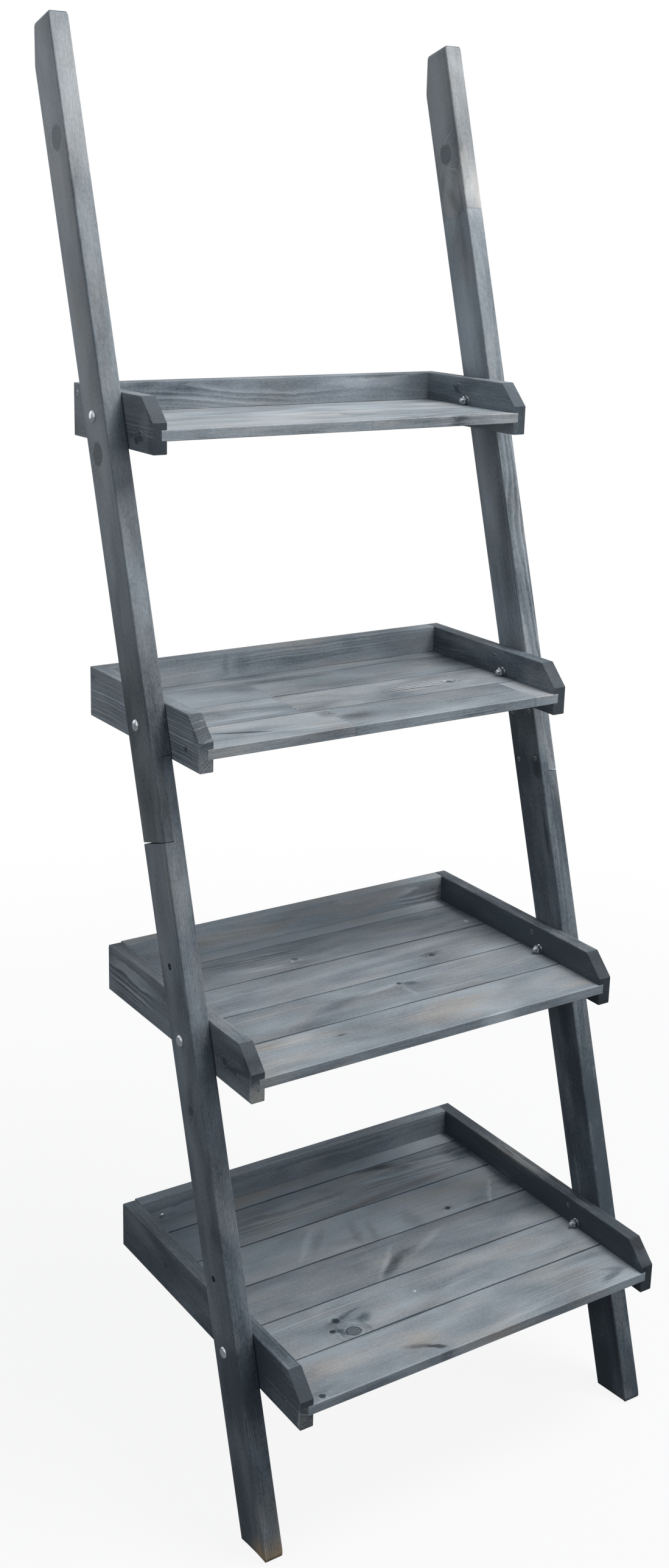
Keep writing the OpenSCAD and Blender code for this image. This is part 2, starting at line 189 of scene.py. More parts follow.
    # A knot is a branch: the rings bulge round it, its own rings show inside, and its bark leaves a dark edge
    core = None
    bark = None
    for x, y, r, darkness in knots:
        reach = from_ellipse(tree, board, x, y, 3.4 * r, 2.1 * r)
        bulge = add(tree, "ShaderNodeMapRange", {
            "Value": reach, "From Min": 0, "From Max": 1.4, "To Min": 1.9 * r, "To Max": 0},
            interpolation_type="SMOOTHERSTEP").outputs[0]
        radius = add(tree, "ShaderNodeMath", {0: radius, 1: bulge}, operation="ADD").outputs[0]
        here = add(tree, "ShaderNodeMapRange", {
            "Value": reach, "From Min": 1.3, "From Max": 0.6, "To Max": 0.7 * figure + 0.1},
            interpolation_type="SMOOTHSTEP").outputs[0]
        shown = add(tree, "ShaderNodeMath", {0: shown, 1: here}, operation="MAXIMUM").outputs[0]
        reach = from_ellipse(tree, board, x, y, 1.12 * r, r)
        reach = add(tree, "ShaderNodeMath", {0: small, 1: 0.5, 2: reach}, operation="MULTIPLY_ADD").outputs[0]
        reach = add(tree, "ShaderNodeMath", {0: mottle, 1: 3.2 / r, 2: reach},
                    operation="MULTIPLY_ADD").outputs[0]
        inner = add(tree, "ShaderNodeMapRange", {
            "Value": reach, "From Min": 1.3 + 0.9 / r, "From Max": 1.2 - 1.0 / r}).outputs[0]
        own_rings = add(tree, "ShaderNodeMath", {0: reach, 1: 7 + r * 0.9}, operation="MULTIPLY").outputs[0]
        own_rings = add(tree, "ShaderNodeMath", {0: own_rings}, operation="SINE").outputs[0]
        grown = add(tree, "ShaderNodeMath", {0: own_rings, 1: 0.03 + 0.003 * r, 2: 0.26 - 1.15 * darkness},
                    operation="MULTIPLY_ADD").outputs[0]
        outline = add(tree, "ShaderNodeMath", {0: reach, 1: 1.24, 2: 0.11}, operation="COMPARE").outputs[0]
        grown = add(tree, "ShaderNodeMath", {0: outline, 1: -0.16, 2: grown},
                    operation="MULTIPLY_ADD").outputs[0]
        core = inner if core is None else add(
            tree, "ShaderNodeMath", {0: core, 1: inner}, operation="MAXIMUM").outputs[0]
        bark = grown if bark is None else add(tree, "ShaderNodeMix", {0: inner, 2: bark, 3: grown}).outputs[0]

    # Annual rings, wider and narrower by the year, each shading slowly to late wood and ending at once
    radius = add(tree, "ShaderNodeMath", {0: small, 1: 0.7 * ring, 2: radius},
                 operation="MULTIPLY_ADD").outputs[0]
    years = add(tree, "ShaderNodeMath", {0: radius, 1: 1 / ring}, operation="MULTIPLY").outputs[0]
    span = add(tree, "ShaderNodeTexNoise", {"W": years, "Scale": 0.22, "Detail": 1.0},
               noise_dimensions="1D").outputs["Fac"]
    years = add(tree, "ShaderNodeMath", {0: span, 1: 2.4, 2: years}, operation="MULTIPLY_ADD").outputs[0]
    season = add(tree, "ShaderNodeMath", {0: years}, operation="FRACT").outputs[0]
    late = add(tree, "ShaderNodeMapRange", {"Value": season, "From Min": 0.25, "From Max": 0.82},
               interpolation_type="SMOOTHSTEP").outputs[0]
    stop = add(tree, "ShaderNodeMapRange", {
        "Value": season, "From Min": 0.88, "From Max": 1.0, "To Min": 1, "To Max": 0},
        interpolation_type="SMOOTHSTEP").outputs[0]
    late = add(tree, "ShaderNodeMath", {0: late, 1: stop}, operation="MULTIPLY").outputs[0]
    year = add(tree, "ShaderNodeMath", {0: years}, operation="FLOOR").outputs[0]
    force = add(tree, "ShaderNodeTexWhiteNoise", {"W": year}, noise_dimensions="1D").outputs["Value"]
    force = add(tree, "ShaderNodeMath", {0: force, 1: 0.8, 2: 0.2}, operation="MULTIPLY_ADD").outputs[0]
    late = add(tree, "ShaderNodeMath", {0: late, 1: force}, operation="MULTIPLY").outputs[0]

    # Fibres are 0.05 mm wide: drawn 0.8 mm wide, so that the planed face still looks drawn along the grain
    fibre = grain_noise(tree, wood, 17, 0.8, Detail=2.0, Roughness=0.6)["Fac"]

    # Resin ducts are 0.2 mm wide: drawn as dark dashes of some 7 mm by 0.7 mm
    ducts = grain_noise(tree, wood, 7, 0.7, (9, 2, 4), Detail=1.0)["Fac"]
    ducts = add(tree, "ShaderNodeMapRange", {"Value": ducts, "From Min": 0.64, "From Max": 0.74},
                interpolation_type="SMOOTHSTEP").outputs[0]

    # The stain took unevenly, in soft clouds of some 110 mm by 38 mm
    stains = grain_noise(tree, bent, 110, 38, (seed * 2, 0, seed), Detail=3.0, Roughness=0.45, Distortion=0.3)
    clouds = add(tree, "ShaderNodeMath", {0: stains["Fac"], 1: 0.5}, operation="SUBTRACT").outputs[0]
    hue = add(tree, "ShaderNodeSeparateColor", {0: stains["Color"]}).outputs["Blue"]

    # How pale each spot is: 0 and 1 are the usual dark and pale, and -1 and 2 are soaked and almost bare
    pale = add(tree, "ShaderNodeMath", {0: late, 1: 0.3}, operation="SUBTRACT").outputs[0]
    pale = add(tree, "ShaderNodeMath", {0: pale, 1: shown, 2: tone}, operation="MULTIPLY_ADD").outputs[0]
    threads = add(tree, "ShaderNodeMath", {0: fibre, 1: 0.5}, operation="SUBTRACT").outputs[0]
    for pattern, strength in ((clouds, cloud), (threads, thread), (mottle, 0.42), (ducts, -0.3 * thread)):
        pale = add(tree, "ShaderNodeMath", {0: pattern, 1: strength, 2: pale},
                   operation="MULTIPLY_ADD").outputs[0]
    warm = add(tree, "ShaderNodeMapRange", {"Value": hue, "From Min": 0.48, "From Max": 0.66, "To Max": bare},
               interpolation_type="SMOOTHSTEP").outputs[0]
    for past, paler, warmer in lengths:
        pale = add(tree, "ShaderNodeMath", {0: past, 1: paler, 2: pale}, operation="MULTIPLY_ADD").outputs[0]
        warm = add(tree, "ShaderNodeMath", {0: past, 1: warmer, 2: warm}, operation="MULTIPLY_ADD").outputs[0]
    for x, y, half_long, half_wide, turn, paler, warmer in marks:
        reach = from_ellipse(tree, frayed, x + fray_long, y + fray_wide, half_long, half_wide, turn)
        here = add(tree, "ShaderNodeMapRange", {"Value": reach, "From Min": 1.35, "From Max": 0.25},
                   interpolation_type="SMOOTHSTEP").outputs[0]
        pale = add(tree, "ShaderNodeMath", {0: here, 1: paler, 2: pale}, operation="MULTIPLY_ADD").outputs[0]
        if warmer:
            warm = add(tree, "ShaderNodeMath", {0: here, 1: warmer, 2: warm},
                       operation="MULTIPLY_ADD").outputs[0]
    if core is not None:
        pale = add(tree, "ShaderNodeMix", {0: core, 2: pale, 3: bark}).outputs[0]
    if glue is not None:
        pale = add(tree, "ShaderNodeMath", {0: glue, 1: -0.16, 2: pale}, operation="MULTIPLY_ADD").outputs[0]

    # The end grain drinks most stain
    turned = add(tree, "ShaderNodeVectorMath", {0: place.outputs["Normal"], 1: tuple(along)},
                 operation="DOT_PRODUCT").outputs["Value"]
    turned = add(tree, "ShaderNodeMath", {0: turned}, operation="ABSOLUTE").outputs[0]
    end = add(tree, "ShaderNodeMapRange", {"Value": turned, "From Min": 0.3, "From Max": 0.75}).outputs[0]
    drunk = add(tree, "ShaderNodeMath", {0: mottle, 1: 0.15, 2: -0.46}, operation="MULTIPLY_ADD").outputs[0]
    pale = add(tree, "ShaderNodeMath", {0: end, 1: drunk, 2: pale}, operation="MULTIPLY_ADD").outputs[0]

    # The narrow edges came straight from the saw: streaks of some 45 mm by 1.5 mm run along them
    narrow = add(tree, "ShaderNodeVectorMath", {0: place.outputs["Normal"], 1: tuple(face.cross(along))},
                 operation="DOT_PRODUCT").outputs["Value"]
    narrow = add(tree, "ShaderNodeMath", {0: narrow}, operation="ABSOLUTE").outputs[0]
    narrow = add(tree, "ShaderNodeMapRange", {"Value": narrow, "From Min": 0.5, "From Max": 0.9}).outputs[0]
    streaks = grain_noise(tree, wood, 45, 1.5, Detail=2.0)["Fac"]
    streaks = add(tree, "ShaderNodeMath", {0: streaks, 1: sawn, 2: -0.56 * sawn},
                  operation="MULTIPLY_ADD").outputs[0]
    pale = add(tree, "ShaderNodeMath", {0: narrow, 1: streaks, 2: pale}, operation="MULTIPLY_ADD").outputs[0]

    # The eased arrises are rubbed a little bare, over 2.6 mm whose edge the small unevenness shifts
    rubbed = 0.14
    shift = 5.0
    inside = add(tree, "ShaderNodeVectorMath", {0: board}, operation="ABSOLUTE").outputs[0]
    inside = add(tree, "ShaderNodeVectorMath", {0: inside, 1: (0, 1, 1)},
                 operation="DOT_PRODUCT").outputs["Value"]
    inside = add(tree, "ShaderNodeMath", {0: small, 1: shift, 2: inside}, operation="MULTIPLY_ADD").outputs[0]
    rim = (width + thick) / 2 + shift / 2
    worn = add(tree, "ShaderNodeMapRange", {
        "Value": inside, "From Min": rim - 2.2, "From Max": rim + 0.4, "To Max": rubbed}).outputs[0]
    pale = add(tree, "ShaderNodeMath", {0: worn, 1: pale}, operation="ADD").outputs[0]

    # Where boards lie edge to edge, stain and dirt gather in the line between them, here more and there less
    if seam is not None:
        shift = 2.4
        side = add(tree, "ShaderNodeMath", {0: across, 1: seam}, operation="ADD").outputs[0]
        side = add(tree, "ShaderNodeMath", {0: side}, operation="ABSOLUTE").outputs[0]
        side = add(tree, "ShaderNodeMath", {0: spots, 1: shift, 2: side}, operation="MULTIPLY_ADD").outputs[0]
        edge = width / 2 + seam + shift / 2
        gap = add(tree, "ShaderNodeMapRange", {
            "Value": side, "From Min": edge - 2.0, "From Max": edge - 0.5, "To Max": -dirt}).outputs[0]
        pale = add(tree, "ShaderNodeMath", {0: gap, 1: pale}, operation="ADD").outputs[0]

    # The colours of the pale scale, one step from the next, and brown wood multiplied in where the stain is
    # thin
    soaked, dark, light, almost_bare = (from_hex(code) for code in ("14181c", "465059", "b6bec5", "dfe2e4"))
    brown, most_brown = (1.55, 1.0, 0.58, 1), 0.4
    step = add(tree, "ShaderNodeMath", {0: pale, 1: 1.0}, operation="ADD").outputs[0]
    colour = add(tree, "ShaderNodeMix", {0: step, 6: soaked, 7: dark}, data_type="RGBA").outputs[2]
    colour = add(tree, "ShaderNodeMix", {0: pale, 6: colour, 7: light}, data_type="RGBA").outputs[2]
    step = add(tree, "ShaderNodeMath", {0: pale, 1: 1.0}, operation="SUBTRACT").outputs[0]
    colour = add(tree, "ShaderNodeMix", {0: step, 6: colour, 7: almost_bare}, data_type="RGBA").outputs[2]
    warm = add(tree, "ShaderNodeMath", {0: warm, 1: most_brown}, operation="MULTIPLY").outputs[0]
    colour = add(tree, "ShaderNodeMix", {0: warm, 6: colour, 7: brown}, data_type="RGBA",
                 blend_type="MULTIPLY").outputs[2]

    # Relief under a fingernail: late wood stands 0.05 mm proud of the early wood
    relief = add(tree, "ShaderNodeMath", {0: late, 1: 0.05}, operation="MULTIPLY").outputs[0]
    relief = add(tree, "ShaderNodeMath", {0: fibre, 1: 0.10, 2: relief}, operation="MULTIPLY_ADD").outputs[0]
    relief = add(tree, "ShaderNodeMath", {0: mottle, 1: 0.16, 2: relief}, operation="MULTIPLY_ADD").outputs[0]
    bump = add(tree, "ShaderNodeBump", {"Height": relief, "Distance": 0.001, "Strength": 0.7}).outputs[0]
    rough = add(tree, "ShaderNodeMath", {0: fibre, 1: 0.16, 2: 0.50}, operation="MULTIPLY_ADD").outputs[0]
    rough = add(tree, "ShaderNodeMath", {0: pale, 1: -0.08, 2: rough}, operation="MULTIPLY_ADD").outputs[0]
    shader = add(tree, "ShaderNodeBsdfPrincipled", {
        "Base Color": colour, "Roughness": rough, "Specular IOR Level": 0.3, "Normal": bump})
    add(tree, "ShaderNodeOutputMaterial", {"Surface": shader.outputs[0]})
    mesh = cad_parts[node].data
    mesh.materials.clear()
    mesh.materials.append(material)


def rail_finish(node, side, pith, seed, **finish):
    """One rail half, measured from a point 900 mm up the middle of its rail."""
    middle = Vector((RAIL_MIDDLE_X * side, RAIL_FOOT_Y, 0)) + UP_THE_RAIL * MEASURED_FROM
    stained_pine(node, middle, UP_THE_RAIL, RIGHTWARDS, RAIL_WIDTH, RAIL_THICK, pith, seed=seed, sawn=0.14,
                 **finish)


rail_finish("rail_left_upper", -1, (34, -22), 3.1, ring=2.3, tone=0.38, figure=0.16,
            knots=((780, 4, 12.5, -0.04), (413, -4, 12.5, 0.10)),
            marks=((830, 10, 190, 40, 0, 0.14, 0.15), (560, -8, 190, 13, 0, -0.04, 0.3),
                   (640, -8, 420, 26, 0, 0.24, 0.0), (620, 24, 160, 4, 0, -0.14, 0.0),
                   (95, 0, 130, 60, 0, -0.24, 0.3), (-20, 0, 70, 60, 0, -0.12, 0.25)))
# Its low tone and its dark marks at -800 and -700 are partly painted shade, from the trays above
rail_finish("rail_left_lower", -1, (30, 20), 5.6, ring=2.6, tone=0.26, figure=0.18, thread=0.17,
            knots=((-366, -1, 5, 0.35), (-719, -13, 6, 0.2)),
            marks=((-80, 0, 55, 60, 0, 0.12, 0.08), (-75, 22, 60, 5, 0, 0.12, 0.2),
                   (-366, 6, 26, 6, 20, 0.14, 0.0), (-360, 0, 30, 14, 0, -0.14, 0.0),
                   (-912, 17, 34, 24, 0, 0.30, 3.0), (-800, -4, 240, 40, 0, -0.22, 0.0),
                   (-860, 24, 60, 7, 8, 0.10, 0.5), (-700, 0, 60, 40, 0, -0.16, 0.0)))
rail_finish("rail_right_upper", 1, (-34, -16), 9.2, ring=2.4, tone=0.38, figure=0.34,
            flames=((230, 26, 320, 14, 0.55),), knots=((784, -2, 12, 0.0),), joints=((703, 6, 0.04, 0.3),),
            marks=((830, -9, 130, 26, 0, 0.36, 0.0), (500, -9, 300, 24, 0, 0.26, 0.0),
                   (733, 14, 26, 9, 12, 0.20, 0.05), (722, 2, 24, 9, -25, -0.26, 0.10),
                   (735, 26, 44, 5, 0, 0.35, 0.08), (748, -16, 22, 5, 20, -0.18, 0.0),
                   (640, 10, 60, 6, 3, -0.16, 0.0)))
# Its low tone and its dark mark at -760 are partly painted shade, from the trays above
rail_finish("rail_right_lower", 1, (-28, 26), 12.4, ring=2.5, tone=0.135, figure=0.15, thread=0.17,
            marks=((-40, 18, 16, 8, 0, -0.5, 0.0), (-130, 20, 40, 3, 0, -0.3, 0.0),
                   (-320, 4, 200, 9, 0, -0.14, 0.0), (-760, 0, 260, 60, 0, -0.16, 0.0)))


def pick(piece):
    """Selects one piece and nothing else, for the operators."""
    bpy.ops.object.select_all(action="DESELECT")
    piece.select_set(True)
    bpy.context.view_layer.objects.active = piece


def worn_end(node, end, out, width, depth, keep_rear):
    """Takes a rail half's place with a copy whose end's corners are worn round, by the floor or by hands. The
    end's middle is at the point end, and it faces out. A corner loses width over depth. Kept rear corners
    stay sharp."""
    piece = bpy.data.objects.new(f"{node}_worn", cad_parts[node].data.copy())
    bpy.context.scene.collection.objects.link(piece)
    pick(piece)
    bpy.ops.mesh.customdata_custom_splitnormals_clear()
    bpy.ops.object.mode_set(mode="EDIT")
    bpy.ops.mesh.select_all(action="SELECT")
    bpy.ops.mesh.remove_doubles(threshold=0.000002)
    for share in (0.05, 0.14, 0.28, 0.48, 0.72, 1.0):
        bpy.ops.mesh.select_all(action="SELECT")
        bpy.ops.mesh.bisect(plane_co=end - out * depth * share, plane_no=out)
    bpy.ops.object.mode_set(mode="OBJECT")

    # Each ring of points near the end draws in, by what a quarter of an ellipse loses at its height
    half_thick = RAIL_THICK / 2000
    fades_over = 0.022
    for vertex in piece.data.vertices:
        left = 1 - max((end - vertex.co).dot(out), 0) / depth
        if left > 0:
            lost = width * (1 - math.sqrt(1 - left ** 2))
            if keep_rear:
                lost *= max(0, min(1, 1 - (vertex.co.y - end.y) / fades_over))
            vertex.co.x -= lost * (vertex.co.x - end.x) / half_thick
    bpy.ops.object.shade_smooth_by_angle(angle=math.radians(30))
    normals = piece.modifiers.new("normals", "WEIGHTED_NORMAL")
    normals.keep_sharp = True
    bpy.ops.object.modifier_apply(modifier=normals.name)
    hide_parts(node)
    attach(piece, "root")


# The feet's corners lose 6 mm over their lowest 11 mm, and the tops' corners 4.5 mm over their last 6 mm
for side, out in (("left", -1), ("right", 1)):
    foot = Vector((RAIL_MIDDLE_X * out, RAIL_FOOT_Y, 0))
    worn_end(f"rail_{side}_lower", foot, DOWNWARDS, 0.006, 0.011, True)
    rail_end = max(v.co.dot(UP_THE_RAIL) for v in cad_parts[f"rail_{side}_upper"].data.vertices)
    top = foot + UP_THE_RAIL * (rail_end - foot.dot(UP_THE_RAIL))
    worn_end(f"rail_{side}_upper", top, UP_THE_RAIL, 0.0045, 0.006, False)


# ---- The tray sides ----
# Eight upright boards, 18 mm thick and 64 mm high, with a chamfered front and a groove for the floor boards.
# Each is bolted to its rail just above the groove and kept from turning by a screw.

REARWARDS = Vector((0, 1, 0))
BOARD_THICK = 18
SIDE_HIGH = 64
for tray, side, pith, tone, finish in (
        (1, "left", (26, 26), 0.32, dict(
            figure=0.3,
            marks=((-60, -22, 20, 6, 0, 0.16, 0.0), (-62, -20, 5, 5, 0, -0.4, 0.0),
                   (-103, 0, 14, 90, 0, -0.3, 0.0)),
            knots=((-72, -16, 4, 0.3),))),
        (1, "right", (-30, -34), 0.37, dict(
            figure=0.3, marks=((20, 14, 9, 3, 30, -0.3, 0.0), (60, 0, 60, 6, 0, -0.12, 0.0)))),
        # The front end's marks paint shade on its chamfer and light on the face below it
        (2, "left", (-40, 16), 0.52, dict(
            figure=0.5, flames=((-60, -6, 90, 40, 0.6), (90, 0, 60, 26, 0.6)),
            marks=((-132, 18, 8, 18, 0, -0.3, 0.0), (-141, -22, 4, 20, 0, 0.4, 0.3)))),
        (2, "right", (22, -30), 0.18, dict(figure=0.24, marks=((70, 22, 60, 6, 0, 0.12, 0.25),))),
        # The front end's marks paint shade on its chamfer and light on the face below it
        (3, "left", (12, 30), 0.32, dict(
            figure=0.4, flames=((120, 0, 70, 30, 0.75),), knots=((-120, -4, 4, 0.3),),
            marks=((-150, -4, 30, 5, -12, -0.22, 0.0), (-172, 18, 8, 18, 0, -0.35, 0.0),
                   (-181, -22, 4, 20, 0, 0.62, 0.6)))),
        # Its low tone is partly painted shade, and its mark along the top edge is painted light
        (3, "right", (-24, -30), -0.14, dict(figure=0.2, marks=((0, 35, 400, 5, 0, 0.34, 0.15),))),
        # Its mark along the top edge and the one on the front end's face are painted light
        (4, "left", (34, 22), 0.05, dict(
            figure=0.25,
            marks=((101, 3, 6, 4, 0, -0.5, 0.0), (60, 20, 80, 8, 0, -0.12, 0.0),
                   (160, 20, 70, 14, 0, 0.10, 0.0), (0, 35, 400, 5, 0, 0.16, 0.0),
                   (-222, -22, 4, 20, 0, 0.55, 0.7)))),
        # Its low tone is partly painted shade, and its marks along the top edge and on the chamfer are painted
        # light
        (4, "right", (-20, -36), -0.26, dict(
            figure=0.3, bare=0.3,
            marks=((40, 30, 90, 6, 0, 0.24, 0.55), (150, 26, 70, 10, 0, -0.1, 0.2),
                   (60, -2, 30, 8, 10, 0.14, 0.0), (0, 35, 400, 5, 0, 0.42, 0.1),
                   (-215, 18, 9, 18, 0, 0.5, 0.0))))):
    low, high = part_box(f"tray{tray}_side_{side}")
    stained_pine(f"tray{tray}_side_{side}", (low + high) / 2, REARWARDS, RIGHTWARDS, SIDE_HIGH, BOARD_THICK,
                 pith, tone, tray * 2.3 + len(side), slope=(1.1, -0.8), **finish)


# ---- The tray backs ----
# Four planed and stained boards on edge, 18 mm thick and 36 mm high, that stand on the floor boards between
# the sides. A screw through each side board holds their ends.

FORWARDS = Vector((0, -1, 0))
BACK_HIGH = 36
for tray, pith, tone, finish in (
        (1, (10, -26), 0.29, dict(
            figure=0.3, ring=2.8, cloud=0.75, flames=((-60, 0, 190, 20, 0.34),),
            marks=((150, 8, 70, 7, 0, 0.18, 0.0), (-180, 4, 80, 10, 0, -0.14, 0.0)))),
        (2, (-22, -20), 0.56, dict(
            figure=0.3, ring=3.0, bare=0.4, flames=((60, 4, 150, 16, 0.3),),
            marks=((-180, -6, 90, 12, 0, 0.14, 0.2), (-60, 2, 14, 16, 10, -0.16, 0.0),
                   (-86, 2, 6, 16, 8, -0.16, 0.0), (30, -2, 120, 8, -2, -0.14, 0.0)))),
        (3, (16, -18), 0.76, dict(
            figure=0.3, cloud=0.7, bare=0.5, flames=((214, -6, 44, 22, 0.9),),
            marks=((-100, -2, 90, 10, 0, 0.12, 0.3), (-40, -12, 120, 4, -2, 0.14, 0.1),
                   (-180, -6, 80, 7, 0, -0.2, 0.2)))),
        (4, (-14, -24), 0.46, dict(
            figure=0.4, ring=4.6, cloud=0.6, bare=0.1, flames=((-170, -6, 110, 14, 0.6),),
            marks=((120, 2, 160, 16, 0, -0.05, 0.0),)))):
    low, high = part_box(f"tray{tray}_back")
    stained_pine(f"tray{tray}_back", (low + high) / 2, RIGHTWARDS, FORWARDS, BACK_HIGH, BOARD_THICK, pith,
                 tone, tray * 5.1, slope=(0.9, 0.7), **finish)


# ---- The tray floors ----
# Boards of 13 by 80 mm with a narrower one at the rear, laid edge to edge with their ends in the sides'
# grooves. Some were glued up from short lengths, finger-jointed end to end, which shows as a jump in the
# grain.

UPWARDS = Vector((0, 0, 1))
# Where neighbouring boards lie: how far the line that both edges are measured from is shifted towards the
# rear
BOTH_SIDES = 0
REAR_ONLY = 10
# The dirt between the floor boards, from the top tray to the bottom one
DIRT = (0.35, 0.45, 0.7, 0.9)
